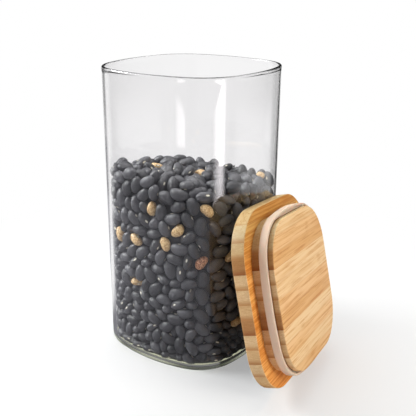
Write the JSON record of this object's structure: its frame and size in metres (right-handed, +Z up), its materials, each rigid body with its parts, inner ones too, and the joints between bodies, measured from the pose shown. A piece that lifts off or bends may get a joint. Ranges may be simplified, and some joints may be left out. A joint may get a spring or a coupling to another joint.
{
  "type": "glass jar",
  "caption": "Tall square glass storage jar of dry beans, with its laminated bamboo lid and silicone ring taken off and propped against it.",
  "frame": {"origin": "centre of the jar's flat base, on the surface that the jar and the lid stand on", "axes": "+Z up along the jar, +X and +Y square to two of its walls, with the lid propped at the +X wall"},
  "size_m": [0.1504, 0.1104, 0.1825],
  "materials": {
    "clear_glass": "polished",
    "black_bean": "satin",
    "bamboo_light": "satin",
    "bamboo_mid": "satin",
    "bamboo_dark": "satin",
    "silicone": "satin"
  },
  "bodies": {
    "jar": {"glass_jar": "clear_glass", "bean_fill": "black_bean"},
    "lid": {"lid_stave_01": "bamboo_mid", "lid_stave_02": "bamboo_light", "lid_stave_03": "bamboo_mid", "lid_stave_04": "bamboo_dark", "lid_stave_05": "bamboo_light", "lid_stave_06": "bamboo_light", "lid_stave_07": "bamboo_mid", "lid_stave_08": "bamboo_dark", "lid_stave_09": "bamboo_light", "lid_stave_10": "bamboo_mid", "lid_stave_11": "bamboo_light", "lid_stave_12": "bamboo_mid", "lid_stave_13": "bamboo_dark", "silicone_ring": "silicone"}
  },
  "joints": [
    {"name": "lid_slide", "type": "slide", "parent": "jar", "child": "lid", "axis": [0.9546, 0.1486, 0.258], "range_m": [0, 0.15]}
  ]
}
